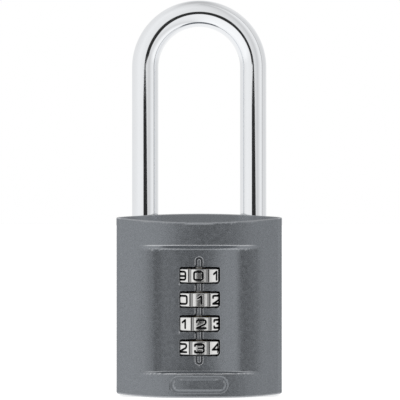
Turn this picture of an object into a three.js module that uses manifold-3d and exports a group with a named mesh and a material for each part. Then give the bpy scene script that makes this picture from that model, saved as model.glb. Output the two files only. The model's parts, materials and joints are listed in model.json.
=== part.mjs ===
// A four-dial combination padlock with a long shackle.
// Millimetres, +Z up, front towards -Y. The origin is the bottom centre of the body.
// The shackle lifts by one dial pitch and carries a yoke and a finned spindle with it; each dial turns
// a notched sleeve round the spindle, and the fins pass only where all four notches face the rear.
import * as THREE from 'three';
import { mergeVertices } from 'three/addons/utils/BufferGeometryUtils.js';
import Module from 'manifold-3d';

const wasm = await Module();
wasm.setup();

// ---- driving dimensions ----
const bodyWidth = 50;
const bodyDepth = 21.3;
const bodyHeight = 55.1;
const frontRadius = 78;
const rearRadius = 160;
const topArcRadius = 300;
const bottomFlatHalf = 8;
const bottomArcRadius = 161;
const outlineCornerRadius = 0.9;
const sideEdgeRadius = 1.3;
const plateauHalfDepth = 6.4;
const shoulderSlope = 0.61;

const rodRadius = 4;
const legOffset = 16.45;
const archCentreZ = 99.6;
const toeEndZ = 48.4;
const longLegEndZ = 2;
const boreClearance = 0.15;
const boreFloorZ = 1.7;
const toeBoreFloorZ = 44;

const dialPitch = 7.24;
const dialCount = 4;
const topDialZ = 36.57;
const dialRadius = 8.7;
const dialHeight = 4.05;
const dialBoreRadius = 5.9;
const dialAxisY = -1.35;
const digitsPerDial = 10;
const gripWidth = 0.9;
const gripDepth = 0.5;
const keyHalfWidth = 0.75;
const pocketGap = 0.3;
const pocketRadialGap = 0.2;

const windowHalfWidth = 6.2;
const windowShift = 0.18;
const windowHeight = 4.75;
const windowLift = 0.18;
const windowCornerRadius = 0.6;
const windowCutDepth = 5;
const panelDepth = 2.97;
const troughRadius = 50;
const troughArcHalf = 8;
const terraceDepth = 1.6;
const terraceCrestX = 11.5;
const terraceRadius = 38;
const ridgeBlend = 0.28;
const panelCutHalfWidth = 21;
const panelBottomZ = 7.6;
const panelTopZ = 45.2;
const indexHalfWidth = 1.06;
const indexGroove = 0.54;
const indexDepth = 0.35;
const indexBottomZ = 9.8;
const indexTopZ = 42.1;

const plaqueHalfWidth = 8.55;
const plaqueHalfHeight = 2.45;
const plaqueCentreZ = 3.95;
const plaqueGroove = 0.5;
const plaqueDepth = 0.25;

const sleeveRadius = 5.7;
const sleeveBoreRadius = 2.6;
const keyNotchRadius = 6.6;
const keyRibRadius = 6.4;
const notchHalfWidth = 1.2;
const notchRadius = 4.6;
const spindleRadius = 2.2;
const spindleNeckRadius = 1.5;
const spindleTopZ = 43.2;
const finHalfWidth = 0.9;
const finRadius = 4.2;
const finHeight = 1.6;
const guideTopZ = 50.8;

const yokeBottomZ = 3.4;
const yokeThickness = 1.5;
const yokeHubRadius = 3.5;
const yokeForkRadius = 3.9;
const yokeArmFront = 2.4;
const yokeArmRear = 2.9;
const yokeGap = 0.15;
const yokeRoomLeftX = -3.9;
const yokeRoomRightX = 20.9;
const yokeRoomFrontY = -4.95;
const yokeRoomTopZ = 12.6;
const neckRadius = 2.7;
const neckGap = 0.2;

const clipRadius = 2.6;
const clipThickness = 0.45;
const clipBoreRadius = 1.2;
const clipMouthHalfWidth = 0.8;
const clipSeatRadius = 1.05;
const clipRoomRadius = 3.1;

const coverHalfWidth = 22.2;
const coverBottomZ = 2.45;
const coverTopZ = 50.6;
const coverThickness = 1.4;
const coverCornerRadius = 3;
const coverGap = 0.15;
const rivetX = 19;
const rivetHeights = [15.8, 47.2];
const rivetReach = 4.6;

const leafFrontY = 7.2;
const leafThickness = 0.35;
const leafSpineX = 7.5;
const leafSpineInner = 1.9;
const leafSpineOuter = 0.9;
const leafFingerHalfHeight = 1.1;
const leafRidgeHalfWidth = 0.4;
const leafRidgeHeight = 0.5;
const leafRoomTopZ = 42.6;
const leafRivetHole = 0.8;
const leafRivetShank = 0.65;
const leafRivetCollar = 1.15;
const leafRivetReach = 2.35;

const round = 48;
const dialZ = Array.from({ length: dialCount }, (_, n) => topDialZ - n * dialPitch);

// ---- helpers ----

// A closed three.js geometry as a solid that can be joined and cut.
function solid(geometry) {
  const bare = geometry.index ? geometry.toNonIndexed() : geometry.clone();
  bare.deleteAttribute('normal');
  bare.deleteAttribute('uv');
  const merged = mergeVertices(bare, 1e-5);
  const mesh = new wasm.Mesh({
    numProp: 3,
    vertProperties: new Float32Array(merged.attributes.position.array),
    triVerts: new Uint32Array(merged.index.array),
  });
  return new wasm.Manifold(mesh);
}

function geometryOf(body) {
  const mesh = body.getMesh();
  const geometry = new THREE.BufferGeometry();
  geometry.setAttribute('position', new THREE.BufferAttribute(new Float32Array(mesh.vertProperties), 3));
  geometry.setIndex(new THREE.BufferAttribute(new Uint32Array(mesh.triVerts), 1));
  geometry.computeVertexNormals();
  return geometry;
}

const joined = (parts) => parts.reduce((sum, part) => sum.add(part));
const cutBy = (body, tools) => tools.reduce((rest, tool) => rest.subtract(tool), body);

function box([x0, x1], [y0, y1], [z0, z1]) {
  const geometry = new THREE.BoxGeometry(x1 - x0, y1 - y0, z1 - z0);
  geometry.translate((x0 + x1) / 2, (y0 + y1) / 2, (z0 + z1) / 2);
  return solid(geometry);
}

// A cylinder along Z.
function post(x, y, radius, z0, z1, sides = round) {
  const geometry = new THREE.CylinderGeometry(radius, radius, z1 - z0, sides);
  geometry.rotateX(Math.PI / 2);
  geometry.translate(x, y, (z0 + z1) / 2);
  return solid(geometry);
}

// A flat outline in X and Y, raised along Z.
function raised(shape, z0, z1, curveSegments = 8) {
  const geometry = new THREE.ExtrudeGeometry(shape, { depth: z1 - z0, bevelEnabled: false, curveSegments });
  geometry.translate(0, 0, z0);
  return solid(geometry);
}

// An outline in X and Z, run along Y.
function along(shape, y0, y1, curveSegments = 8) {
  const geometry = new THREE.ExtrudeGeometry(shape, { depth: y1 - y0, bevelEnabled: false, curveSegments });
  geometry.rotateX(Math.PI / 2);
  geometry.translate(0, y1, 0);
  return solid(geometry);
}

// A profile of [radius, height] points turned round a line along Y, with height measured from y.
function turnedAlongY(profile, x, y, z, sides = 24) {
  const points = profile.map(([radius, height]) => new THREE.Vector2(radius, height));
  const geometry = new THREE.LatheGeometry(points, sides);
  geometry.translate(x, y, z);
  return solid(geometry);
}

// Rounded rectangle in X and Z or X and Y.
function roundedRectangle(x0, z0, x1, z1, r) {
  const shape = new THREE.Shape();
  shape.moveTo(x0 + r, z0);
  shape.lineTo(x1 - r, z0);
  shape.absarc(x1 - r, z0 + r, r, -Math.PI / 2, 0);
  shape.lineTo(x1, z1 - r);
  shape.absarc(x1 - r, z1 - r, r, 0, Math.PI / 2);
  shape.lineTo(x0 + r, z1);
  shape.absarc(x0 + r, z1 - r, r, Math.PI / 2, Math.PI);
  shape.lineTo(x0, z0 + r);
  shape.absarc(x0 + r, z0 + r, r, Math.PI, 1.5 * Math.PI);
  return shape;
}

// ---- the body's outer form ----

// How far an arched face lies behind its crest.
const archDrop = (x, radius) => radius - Math.sqrt(radius * radius - x * x);
const frontY = (x) => archDrop(x, frontRadius) - bodyDepth / 2;
// The rear face, or a surface at an even depth under it.
const rearY = (x, inset = 0) => bodyDepth / 2 - inset - archDrop(x, rearRadius - inset);
const topZ = (x) => bodyHeight - (x * x) / (2 * topArcRadius);
const bottomZ = (x) => Math.max(0, Math.abs(x) - bottomFlatHalf) ** 2 / (2 * bottomArcRadius);

// Where a face's arc meets the round upright edge, and the centre and tilt of that edge.
function uprightEdge(radius) {
  const centreX = bodyWidth / 2 - sideEdgeRadius;
  const reach = radius - sideEdgeRadius;
  const tilt = Math.asin(centreX / reach);
  const centreY = bodyDepth / 2 - radius + reach * Math.cos(tilt);
  return { centreX, centreY, tilt, meetX: radius * Math.sin(tilt) };
}

// The body from above: the front bulges more than the rear, and the four upright edges are rounded.
function planOutline() {
  const front = uprightEdge(frontRadius);
  const rear = uprightEdge(rearRadius);
  const steps = 16;
  const quarter = Math.PI / 2;
  const shape = new THREE.Shape();
  for (let i = 0; i <= steps; i += 1) {
    const x = front.meetX * ((2 * i) / steps - 1);
    if (i === 0) shape.moveTo(x, frontY(x));
    else shape.lineTo(x, frontY(x));
  }
  shape.absarc(front.centreX, -front.centreY, sideEdgeRadius, front.tilt - quarter, 0);
  shape.absarc(rear.centreX, rear.centreY, sideEdgeRadius, 0, quarter - rear.tilt);
  for (let i = 1; i <= steps; i += 1) {
    const x = rear.meetX * (1 - (2 * i) / steps);
    shape.lineTo(x, rearY(x));
  }
  shape.absarc(-rear.centreX, rear.centreY, sideEdgeRadius, quarter + rear.tilt, Math.PI);
  shape.absarc(-front.centreX, -front.centreY, sideEdgeRadius, Math.PI, 3 * quarter - front.tilt);
  return shape;
}

// The front view: arched top, bottom flat in the middle and rising to the sides.
function frontOutline() {
  const half = bodyWidth / 2;
  const r = outlineCornerRadius;
  const steps = 12;
  const shape = new THREE.Shape();
  shape.moveTo(-bottomFlatHalf, 0);
  for (let i = 0; i <= steps; i += 1) {
    const x = bottomFlatHalf + ((half - r - bottomFlatHalf) * i) / steps;
    shape.lineTo(x, bottomZ(x));
  }
  shape.absarc(half - r, bottomZ(half - r) + r, r, -Math.PI / 2, 0);
  shape.absarc(half - r, topZ(half - r) - r, r, 0, Math.PI / 2);
  for (let i = 0; i <= steps; i += 1) {
    const x = half - r - (2 * (half - r) * i) / steps;
    shape.lineTo(x, topZ(x));
  }
  shape.absarc(-half + r, topZ(half - r) - r, r, Math.PI / 2, Math.PI);
  shape.absarc(-half + r, bottomZ(half - r) + r, r, Math.PI, 1.5 * Math.PI);
  for (let i = 1; i < steps; i += 1) {
    const x = half - r - ((half - r - bottomFlatHalf) * i) / steps;
    shape.lineTo(-x, bottomZ(x));
  }
  return shape;
}

// The sloping shoulder cut, which follows the arched top, on the front (side -1) or the rear (side 1).
function shoulderCut(side) {
  const reach = 6;
  const shape = new THREE.Shape();
  shape.moveTo(0, 0);
  shape.lineTo(reach, -reach * shoulderSlope);
  shape.lineTo(reach, reach);
  shape.lineTo(0, reach);
  const length = bodyWidth + 4;
  const geometry = new THREE.ExtrudeGeometry(shape, { depth: length, steps: 18, bevelEnabled: false });
  const p = geometry.attributes.position;
  for (let i = 0; i < p.count; i += 1) {
    const x = side * (p.getZ(i) - length / 2);
    const outward = p.getX(i);
    const up = p.getY(i);
    p.setXYZ(i, x, side * (plateauHalfDepth + outward), topZ(x) + up);
  }
  return solid(geometry);
}

function bodyForm() {
  const form = raised(planOutline(), -1, bodyHeight + 1).intersect(along(frontOutline(), -12, 12));
  return cutBy(form, [shoulderCut(-1), shoulderCut(1)]);
}

// A slab that follows the rear face, from the face down to the given depth.
function rearSlab(depth, margin) {
  const half = coverHalfWidth + margin;
  const steps = 10;
  const shape = new THREE.Shape();
  for (let i = 0; i <= steps; i += 1) {
    const x = -half + (2 * half * i) / steps;
    if (i === 0) shape.moveTo(x, rearY(x, depth));
    else shape.lineTo(x, rearY(x, depth));
  }
  shape.lineTo(half, bodyDepth);
  shape.lineTo(-half, bodyDepth);
  const edge = roundedRectangle(-half, coverBottomZ - margin, half, coverTopZ + margin,
    coverCornerRadius + margin);
  return raised(shape, 0, bodyHeight).intersect(along(edge, 0, bodyDepth + 1, 6));
}

// ---- housing ----

// How far the panel's hollow comes forward from its middle line: round first, then straight.
function troughRise(x) {
  const lean = troughArcHalf / Math.sqrt(troughRadius ** 2 - troughArcHalf ** 2);
  const reach = Math.abs(x);
  return archDrop(Math.min(reach, troughArcHalf), troughRadius) + lean * Math.max(0, reach - troughArcHalf);
}

// How far the dial panel lies behind the crest of the front face: a hollow in the middle and a
// flatter terrace on each side, with an eased ridge between them.
function panelInset(x) {
  const trough = panelDepth - troughRise(x);
  const terrace = terraceDepth + Math.max(0, Math.abs(x) - terraceCrestX) ** 2 / (2 * terraceRadius);
  const ease = Math.max(0, 1 - Math.abs(trough - terrace) / ridgeBlend);
  return Math.max(trough, terrace) + (ridgeBlend / 4) * ease * ease;
}

function panelCut() {
  const steps = 36;
  const shape = new THREE.Shape();
  shape.moveTo(-panelCutHalfWidth, -bodyDepth);
  shape.lineTo(panelCutHalfWidth, -bodyDepth);
  for (let i = 0; i <= steps; i += 1) {
    const x = panelCutHalfWidth * (1 - (2 * i) / steps);
    shape.lineTo(x, panelInset(x) - bodyDepth / 2);
  }
  return raised(shape, panelBottomZ, panelTopZ);
}

function dialPockets() {
  const cuts = [];
  for (const z of dialZ) {
    const low = z - dialHeight / 2 - pocketGap;
    const high = z + dialHeight / 2 + pocketGap;
    const r = dialRadius + pocketRadialGap;
    cuts.push(post(0, dialAxisY, r, low, high, 60));
    cuts.push(box([-r, r], [dialAxisY, bodyDepth / 2], [low, high]));
    const mid = z + windowLift;
    const frame = roundedRectangle(windowShift - windowHalfWidth, mid - windowHeight / 2,
      windowShift + windowHalfWidth, mid + windowHeight / 2, windowCornerRadius);
    cuts.push(along(frame, -bodyDepth, dialAxisY - windowCutDepth, 3));
  }
  return joined(cuts);
}

// The room behind the dials: the spindle's upright channel, open to the rear, and the yoke's room.
function mechanismRoom() {
  const channel = sleeveBoreRadius;
  const rear = bodyDepth / 2;
  const yokeRoomLowZ = yokeBottomZ - neckGap;
  return joined([
    post(0, dialAxisY, channel, boreFloorZ, guideTopZ),
    box([-channel, channel], [dialAxisY, rear], [yokeBottomZ, coverTopZ - 1.1]),
    post(0, dialAxisY, clipRoomRadius, boreFloorZ, yokeBottomZ + 0.5, 32),
    box([yokeRoomLeftX, yokeRoomRightX], [yokeRoomFrontY, rear], [yokeRoomLowZ, yokeRoomTopZ]),
    box([leafSpineX - leafSpineInner - 0.5, leafSpineX + leafSpineOuter + 0.5], [leafFrontY - 0.8, rear],
      [yokeRoomTopZ - 0.1, leafRoomTopZ]),
  ]);
}

// A groove that follows the outline of a field with round ends, down to a flat floor.
function outlineGroove(halfWidth, z0, z1, width, floorY) {
  const endRadius = Math.min(halfWidth, (z1 - z0) / 2) - 0.01;
  const ring = (inset) => roundedRectangle(-halfWidth + inset, z0 + inset, halfWidth - inset, z1 - inset,
    endRadius - inset);
  return along(ring(0), -bodyDepth, floorY, 6).subtract(along(ring(width), -bodyDepth - 1, floorY + 1, 6));
}

// The index mark runs down the middle of the panel and leaves a narrow rib standing inside its groove.
const indexMark = () => outlineGroove(indexHalfWidth, indexBottomZ, indexTopZ, indexGroove,
  panelDepth + indexDepth - bodyDepth / 2);

const blankPlaque = () => outlineGroove(plaqueHalfWidth, plaqueCentreZ - plaqueHalfHeight,
  plaqueCentreZ + plaqueHalfHeight, plaqueGroove, plaqueDepth - bodyDepth / 2);

// Rivet and hole profiles as [radius, height], with a countersunk head that the rear face trims.
const rivetHead = [[0, 0], [1.1, 0], [1.1, 3.1], [1.9, 3.9], [1.9, 5.5], [0, 5.5]];
const rivetHole = [[0, -0.1], [1.2, -0.1], [1.2, 3.05], [2, 3.85], [2, 7], [0, 7]];
const rivetPlaces = rivetHeights.flatMap((z) => [[-rivetX, z], [rivetX, z]]);
const rivetStartY = rearY(rivetX) - rivetReach;

function housing() {
  const cuts = [
    panelCut(),
    dialPockets(),
    mechanismRoom(),
    indexMark(),
    blankPlaque(),
    rearSlab(coverThickness + coverGap, coverGap),
    post(legOffset, 0, rodRadius + boreClearance, boreFloorZ, bodyHeight + 5),
    post(-legOffset, 0, rodRadius + boreClearance, toeBoreFloorZ, bodyHeight + 5),
    ...rivetPlaces.map(([x, z]) => turnedAlongY(rivetHole, x, rivetStartY, z)),
  ];
  return cutBy(bodyForm(), cuts);
}

// ---- rear cover and its fasteners ----

const leafRivetHeights = [
  (dialZ[0] + dialZ[1]) / 2,
  (dialZ[2] + dialZ[3]) / 2,
];

function rearCover() {
  const plate = rearSlab(coverThickness, 0).intersect(bodyForm());
  const holes = rivetPlaces.map(([x, z]) => turnedAlongY(rivetHole, x, rivetStartY, z));
  const holeEnd = leafRivetReach + 0.15;
  const blindProfile = [[0, 0], [leafRivetHole, 0], [leafRivetHole, holeEnd], [0, holeEnd]];
  const blind = leafRivetHeights.map((z) => turnedAlongY(blindProfile, leafSpineX, leafFrontY, z, 16));
  return cutBy(plate, [...holes, ...blind]);
}

const coverRivet = ([x, z]) => turnedAlongY(rivetHead, x, rivetStartY, z).intersect(bodyForm());

// ---- shackle ----

// One leg, the arch and the other leg, with a single step along each straight leg.
class ShackleLine extends THREE.Curve {
  constructor(archSteps) {
    super();
    this.archSteps = archSteps;
  }

  getUtoTmapping(u) {
    return u;
  }

  getPoint(t, target = new THREE.Vector3()) {
    const step = t * (this.archSteps + 2);
    if (step < 1) return target.set(legOffset, 0, longLegEndZ + (archCentreZ - longLegEndZ) * step);
    const last = step - 1 - this.archSteps;
    if (last > 0) return target.set(-legOffset, 0, archCentreZ + (toeEndZ - archCentreZ) * last);
    const angle = (Math.PI * (step - 1)) / this.archSteps;
    return target.set(legOffset * Math.cos(angle), 0, archCentreZ + legOffset * Math.sin(angle));
  }
}

function shackle() {
  const archSteps = 24;
  const sides = 28;
  const section = new THREE.Shape();
  for (let i = 0; i < sides; i += 1) {
    const angle = (2 * Math.PI * i) / sides;
    const x = rodRadius * Math.cos(angle);
    const y = rodRadius * Math.sin(angle);
    if (i === 0) section.moveTo(x, y);
    else section.lineTo(x, y);
  }
  const rod = solid(new THREE.ExtrudeGeometry(section, {
    steps: archSteps + 2,
    bevelEnabled: false,
    extrudePath: new ShackleLine(archSteps),
  }));
  const neckLow = yokeBottomZ - neckGap;
  const neckHigh = yokeBottomZ + yokeThickness + neckGap;
  const waste = post(legOffset, 0, rodRadius + 1, neckLow, neckHigh)
    .subtract(post(legOffset, 0, neckRadius, neckLow - 1, neckHigh + 1, 32));
  return rod.subtract(waste);
}

// ---- the parts that the shackle lifts ----

function yoke() {
  const low = yokeBottomZ;
  const high = yokeBottomZ + yokeThickness;
  const plate = joined([
    post(0, dialAxisY, yokeHubRadius, low, high, 32),
    box([0, legOffset], [dialAxisY - yokeArmFront, dialAxisY + yokeArmRear], [low, high]),
    post(legOffset, 0, yokeForkRadius, low, high, 32),
  ]);
  const throat = neckRadius + yokeGap;
  return cutBy(plate, [
    post(0, dialAxisY, spindleNeckRadius + yokeGap, low - 1, high + 1, 32),
    post(legOffset, 0, throat, low - 1, high + 1, 32),
    box([legOffset - throat, legOffset + throat], [-5, 0], [low - 1, high + 1]),
  ]);
}

const clipHighZ = yokeBottomZ - 0.2;
const clipLowZ = clipHighZ - clipThickness;

function lockingSpindle() {
  const shoulderZ = yokeBottomZ + yokeThickness + yokeGap;
  const parts = [
    post(0, dialAxisY, spindleRadius, shoulderZ, spindleTopZ, 32),
    post(0, dialAxisY, spindleNeckRadius, yokeBottomZ - 1.1, shoulderZ + 1, 32),
  ];
  for (const z of dialZ) {
    const mid = z - dialPitch / 2;
    parts.push(box([-finHalfWidth, finHalfWidth], [dialAxisY, dialAxisY + finRadius],
      [mid - finHeight / 2, mid + finHeight / 2]));
  }
  const groove = post(0, dialAxisY, spindleRadius + 1, clipLowZ - 0.1, clipHighZ + 0.1, 32)
    .subtract(post(0, dialAxisY, clipSeatRadius, clipLowZ - 1, clipHighZ + 1, 24));
  return joined(parts).subtract(groove);
}

function spindleClip() {
  const disc = post(0, dialAxisY, clipRadius, clipLowZ, clipHighZ, 28);
  return cutBy(disc, [
    post(0, dialAxisY, clipBoreRadius, clipLowZ - 1, clipHighZ + 1, 24),
    box([-clipMouthHalfWidth, clipMouthHalfWidth], [dialAxisY, dialAxisY + clipRadius + 1],
      [clipLowZ - 1, clipHighZ + 1]),
  ]);
}

// ---- dials, and the notched sleeve inside each ----

// A bar from the axis out to a radius, at an angle round the dial axis.
function spoke(halfWidth, inner, outer, z0, z1, angle) {
  const geometry = new THREE.BoxGeometry(outer - inner, 2 * halfWidth, z1 - z0);
  geometry.translate((inner + outer) / 2, 0, (z0 + z1) / 2);
  geometry.rotateZ(angle);
  geometry.translate(0, dialAxisY, 0);
  return solid(geometry);
}

function dial(z) {
  const low = z - dialHeight / 2;
  const high = z + dialHeight / 2;
  const ring = post(0, dialAxisY, dialRadius, low, high, 60);
  const cuts = [post(0, dialAxisY, dialBoreRadius, low - 1, high + 1, 40)];
  for (let n = 0; n < digitsPerDial; n += 1) {
    const step = (2 * Math.PI) / digitsPerDial;
    const gripAngle = -Math.PI / 2 + (n + 0.5) * step;
    cuts.push(spoke(gripWidth / 2, dialRadius - gripDepth, dialRadius + 1, low - 1, high + 1, gripAngle));
    const keyAngle = -Math.PI / 2 + n * step;
    cuts.push(spoke(keyHalfWidth, 4, keyNotchRadius, low - 1, high + 1, keyAngle));
  }
  return cutBy(ring, cuts);
}

function codeSleeve(z) {
  const low = z - dialHeight / 2;
  const high = z + dialHeight / 2;
  const body = post(0, dialAxisY, sleeveRadius, low, high, 40)
    .add(spoke(keyHalfWidth - 0.15, sleeveRadius - 0.8, keyRibRadius, low, high, -Math.PI / 2));
  return cutBy(body, [
    post(0, dialAxisY, sleeveBoreRadius, low - 1, high + 1, 32),
    spoke(notchHalfWidth, 0, notchRadius, low - 1, high + 1, Math.PI / 2),
  ]);
}

// ---- detent leaf spring ----

// A comb of four fingers from one spine; each finger's ridge sits in a grip groove of its dial.
function detentSpring() {
  const back = leafFrontY + leafThickness;
  const ridgeX = dialRadius * Math.cos((2 * Math.PI * 2) / digitsPerDial);
  const spine = [leafSpineX - leafSpineInner, leafSpineX + leafSpineOuter];
  const parts = [box(spine, [leafFrontY, back], [dialZ[3] - 1.8, dialZ[0] + 1.8])];
  for (const z of dialZ) {
    const heights = [z - leafFingerHalfHeight, z + leafFingerHalfHeight];
    parts.push(box([ridgeX - 0.7, leafSpineX], [leafFrontY, back], heights));
    const ridge = new THREE.Shape();
    ridge.moveTo(ridgeX - leafRidgeHalfWidth, leafFrontY + 0.1);
    ridge.lineTo(ridgeX, leafFrontY - leafRidgeHeight);
    ridge.lineTo(ridgeX + leafRidgeHalfWidth, leafFrontY + 0.1);
    parts.push(raised(ridge, heights[0], heights[1]));
  }
  const hole = [[0, -1], [leafRivetHole, -1], [leafRivetHole, 2], [0, 2]];
  return cutBy(joined(parts), leafRivetHeights.map((z) => turnedAlongY(hole, leafSpineX, leafFrontY, z, 16)));
}

// The small rivets that hold the leaf: head, shank, and a collar that keeps the leaf off the cover.
const leafRivetHead = 1.2;
const collarStart = leafThickness + 0.05;
const collarEnd = rearY(leafSpineX, coverThickness) - leafFrontY - 0.12;
const leafRivetProfile = [
  [0, -0.55], [leafRivetHead, -0.55], [leafRivetHead, -0.1], [leafRivetShank, -0.1], [leafRivetShank, collarStart],
  [leafRivetCollar, collarStart], [leafRivetCollar, collarEnd], [leafRivetShank, collarEnd],
  [leafRivetShank, leafRivetReach], [0, leafRivetReach],
];
const leafRivet = (z) => turnedAlongY(leafRivetProfile, leafSpineX, leafFrontY, z, 16);

// ---- assembly ----

const lacquer = () => new THREE.MeshStandardMaterial({ color: 0x6b6e72, roughness: 0.42, metalness: 0.3 });
const chrome = () => new THREE.MeshStandardMaterial({ color: 0xe6e8ea, roughness: 0.06, metalness: 1 });
const nickel = () => new THREE.MeshStandardMaterial({ color: 0xd5d6d6, roughness: 0.2, metalness: 1 });
const brass = () => new THREE.MeshStandardMaterial({ color: 0xc4a35a, roughness: 0.35, metalness: 1 });
const steel = () => new THREE.MeshStandardMaterial({ color: 0xa9adb0, roughness: 0.35, metalness: 1 });

const padlock = new THREE.Group();

function place(name, body, material) {
  const mesh = new THREE.Mesh(geometryOf(body), material);
  mesh.name = name;
  padlock.add(mesh);
}

place('housing', housing(), lacquer());
place('rear_cover', rearCover(), lacquer());
rivetPlaces.forEach((spot, n) => place(`cover_rivet_${n + 1}`, coverRivet(spot), steel()));
place('shackle', shackle(), chrome());
place('yoke', yoke(), steel());
place('locking_spindle', lockingSpindle(), steel());
place('spindle_clip', spindleClip(), steel());
dialZ.forEach((z, n) => place(`dial_${n + 1}`, dial(z), nickel()));
dialZ.forEach((z, n) => place(`code_sleeve_${n + 1}`, codeSleeve(z), brass()));
place('detent_spring', detentSpring(), steel());
leafRivetHeights.forEach((z, n) => place(`spring_rivet_${n + 1}`, leafRivet(z), steel()));

export default padlock;
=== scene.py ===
# The looks of a four-dial combination padlock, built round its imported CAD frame.
# Shapes are worked out in millimetres, front towards -Y, and become meshes in metres.
import json
import math

import bpy
import numpy as np
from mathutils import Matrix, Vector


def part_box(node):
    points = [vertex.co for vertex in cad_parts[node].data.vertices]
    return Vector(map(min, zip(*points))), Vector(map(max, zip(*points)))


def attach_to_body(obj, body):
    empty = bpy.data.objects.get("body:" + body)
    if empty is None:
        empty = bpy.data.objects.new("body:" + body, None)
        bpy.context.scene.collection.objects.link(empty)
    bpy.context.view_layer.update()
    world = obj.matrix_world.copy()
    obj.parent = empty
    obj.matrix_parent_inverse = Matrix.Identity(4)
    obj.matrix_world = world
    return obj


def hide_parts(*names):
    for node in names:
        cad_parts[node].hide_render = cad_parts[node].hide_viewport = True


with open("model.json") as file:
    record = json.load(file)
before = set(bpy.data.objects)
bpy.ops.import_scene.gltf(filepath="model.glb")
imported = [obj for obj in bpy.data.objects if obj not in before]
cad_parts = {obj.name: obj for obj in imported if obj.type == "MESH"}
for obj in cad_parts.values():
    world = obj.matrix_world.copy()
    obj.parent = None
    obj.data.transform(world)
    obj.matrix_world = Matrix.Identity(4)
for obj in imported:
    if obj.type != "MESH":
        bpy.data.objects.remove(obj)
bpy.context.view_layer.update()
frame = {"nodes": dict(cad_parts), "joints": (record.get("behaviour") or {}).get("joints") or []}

MM = 0.001


def box_mm(name):
    """Lowest and highest corners of a CAD node, in millimetres."""
    low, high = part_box(name)
    return np.array(low) / MM, np.array(high) / MM


# ---- sizes read from the frame ----

body_low, body_high = box_mm("housing")
BODY_HALF_WIDTH = body_high[0]
BODY_HALF_DEPTH = -body_low[1]
BODY_HEIGHT = body_high[2]

shackle_low, shackle_high = box_mm("shackle")
ROD_RADIUS = shackle_high[1]
LEG_X = shackle_high[0] - ROD_RADIUS
ARCH_Z = shackle_high[2] - ROD_RADIUS - LEG_X
LONG_LEG_END_Z = shackle_low[2]

dial_joints = [j for j in frame["joints"] if j["name"].startswith("dial_")]
DIAL_AXIS_Y = dial_joints[0]["pos_m"][1] / MM
DIAL_Z = [j["pos_m"][2] / MM for j in dial_joints]
dial_low, dial_high = box_mm("dial_1")
DIAL_RADIUS = dial_high[0]
DIAL_HALF_HEIGHT = (dial_high[2] - dial_low[2]) / 2

cover_low, cover_high = box_mm("rear_cover")
rivet_boxes = [box_mm(f"cover_rivet_{n}") for n in range(1, 5)]

# ---- driving dimensions of the surface, in millimetres ----

FRONT_RADIUS = 78.0
REAR_RADIUS = 160.0
TOP_ARC_RADIUS = 300.0
BOTTOM_FLAT_HALF = 8.0
BOTTOM_ARC_RADIUS = 161.0
PLATEAU_HALF_DEPTH = 6.4
SHOULDER_SLOPE = 0.61
SIDE_EDGE = 1.3
OUTLINE_EDGE = 0.5
SHOULDER_EDGE = 0.28

PANEL_DEPTH = 2.97
TROUGH_RADIUS = 50.0
TROUGH_ARC_HALF = 8.0
TERRACE_DEPTH = 1.6
TERRACE_CREST_X = 11.5
TERRACE_RADIUS = 38.0
RIDGE_BLEND = 0.28
MERGE_BLEND = 0.06
PANEL_TOP_Z = 45.65
PANEL_TOP_STEP = 0.95
PANEL_BOTTOM_Z = 7.3
PANEL_BOTTOM_STEP = 0.45
OUTER_EASE = 0.16
INNER_EASE = 0.4

WINDOW_HALF_WIDTH = 6.1
WINDOW_SHIFT = 0.18
WINDOW_HEIGHT = 4.55
WINDOW_LIFT = 0.2
WINDOW_CORNER = 0.6
WINDOW_EDGE = 0.1
POCKET_GAP = 0.3
POCKET_RADIAL_GAP = 0.15

INDEX_HALF_WIDTH = 1.06
INDEX_GROOVE = 0.54
INDEX_BOTTOM_Z = 9.8
INDEX_TOP_Z = 42.1
INDEX_DEPTH = 0.35
INDEX_RAMP = 0.24

PLAQUE_HALF_WIDTH = 8.55
PLAQUE_HALF_HEIGHT = 2.45
PLAQUE_Z = 3.95
PLAQUE_LINE = 0.6
PLAQUE_DEPTH = 0.19
PLAQUE_RAMP = 0.5

BORE_CLEARANCE = 0.15
BORE_EDGE = 0.2
BORE_FLOOR_Z = 1.7
TOE_BORE_FLOOR_Z = 44.0
TOE_END_Z = 48.4
CLEAR_ABOVE = 9.0

COVER_THICKNESS = 1.4
COVER_GAP = 0.15
COVER_CORNER = 3.0
COVER_EDGE = 0.3
RECESS_EDGE = 0.2
RIVET_HOLE_GAP = 0.08
RIVET_HOLE_EDGE = 0.12

# Edges that bend by more than the first number below per millimetre get a painted highlight, which is full
# once the bend is the second number beyond that.
EDGE_PROBE = 0.12
HIGHLIGHT_START = 0.9
HIGHLIGHT_RANGE = 2.7


# ---- distance fields ----

def smooth_step(t):
    """0 below 0, 1 above 1 and an eased ramp between them."""
    t = np.clip(t, 0.0, 1.0)
    return t * t * (3.0 - 2.0 * t)


def round_max(a, b, r):
    """Intersection of two fields with a round edge of radius r."""
    return np.minimum(np.maximum(a, b), -r) + np.hypot(np.maximum(a + r, 0.0), np.maximum(b + r, 0.0))


def blend_max(a, b, width):
    """Larger of two heights, eased where they come within width of each other."""
    h = np.maximum(width - np.abs(a - b), 0.0) / width
    return np.maximum(a, b) + 0.25 * width * h * h


def rounded_box(u, v, half_u, half_v, corner):
    """Distance to a rectangle with round corners, in two coordinates."""
    du = np.abs(u) - (half_u - corner)
    dv = np.abs(v) - (half_v - corner)
    outside = np.hypot(np.maximum(du, 0.0), np.maximum(dv, 0.0))
    return outside + np.minimum(np.maximum(du, dv), 0.0) - corner


def top_z(x):
    """The height of the arched top."""
    return BODY_HEIGHT - x * x / (2 * TOP_ARC_RADIUS)


def bottom_z(x):
    """The height of the underside, which is flat in the middle and rises at both sides."""
    return np.maximum(0.0, np.abs(x) - BOTTOM_FLAT_HALF) ** 2 / (2 * BOTTOM_ARC_RADIUS)


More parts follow.
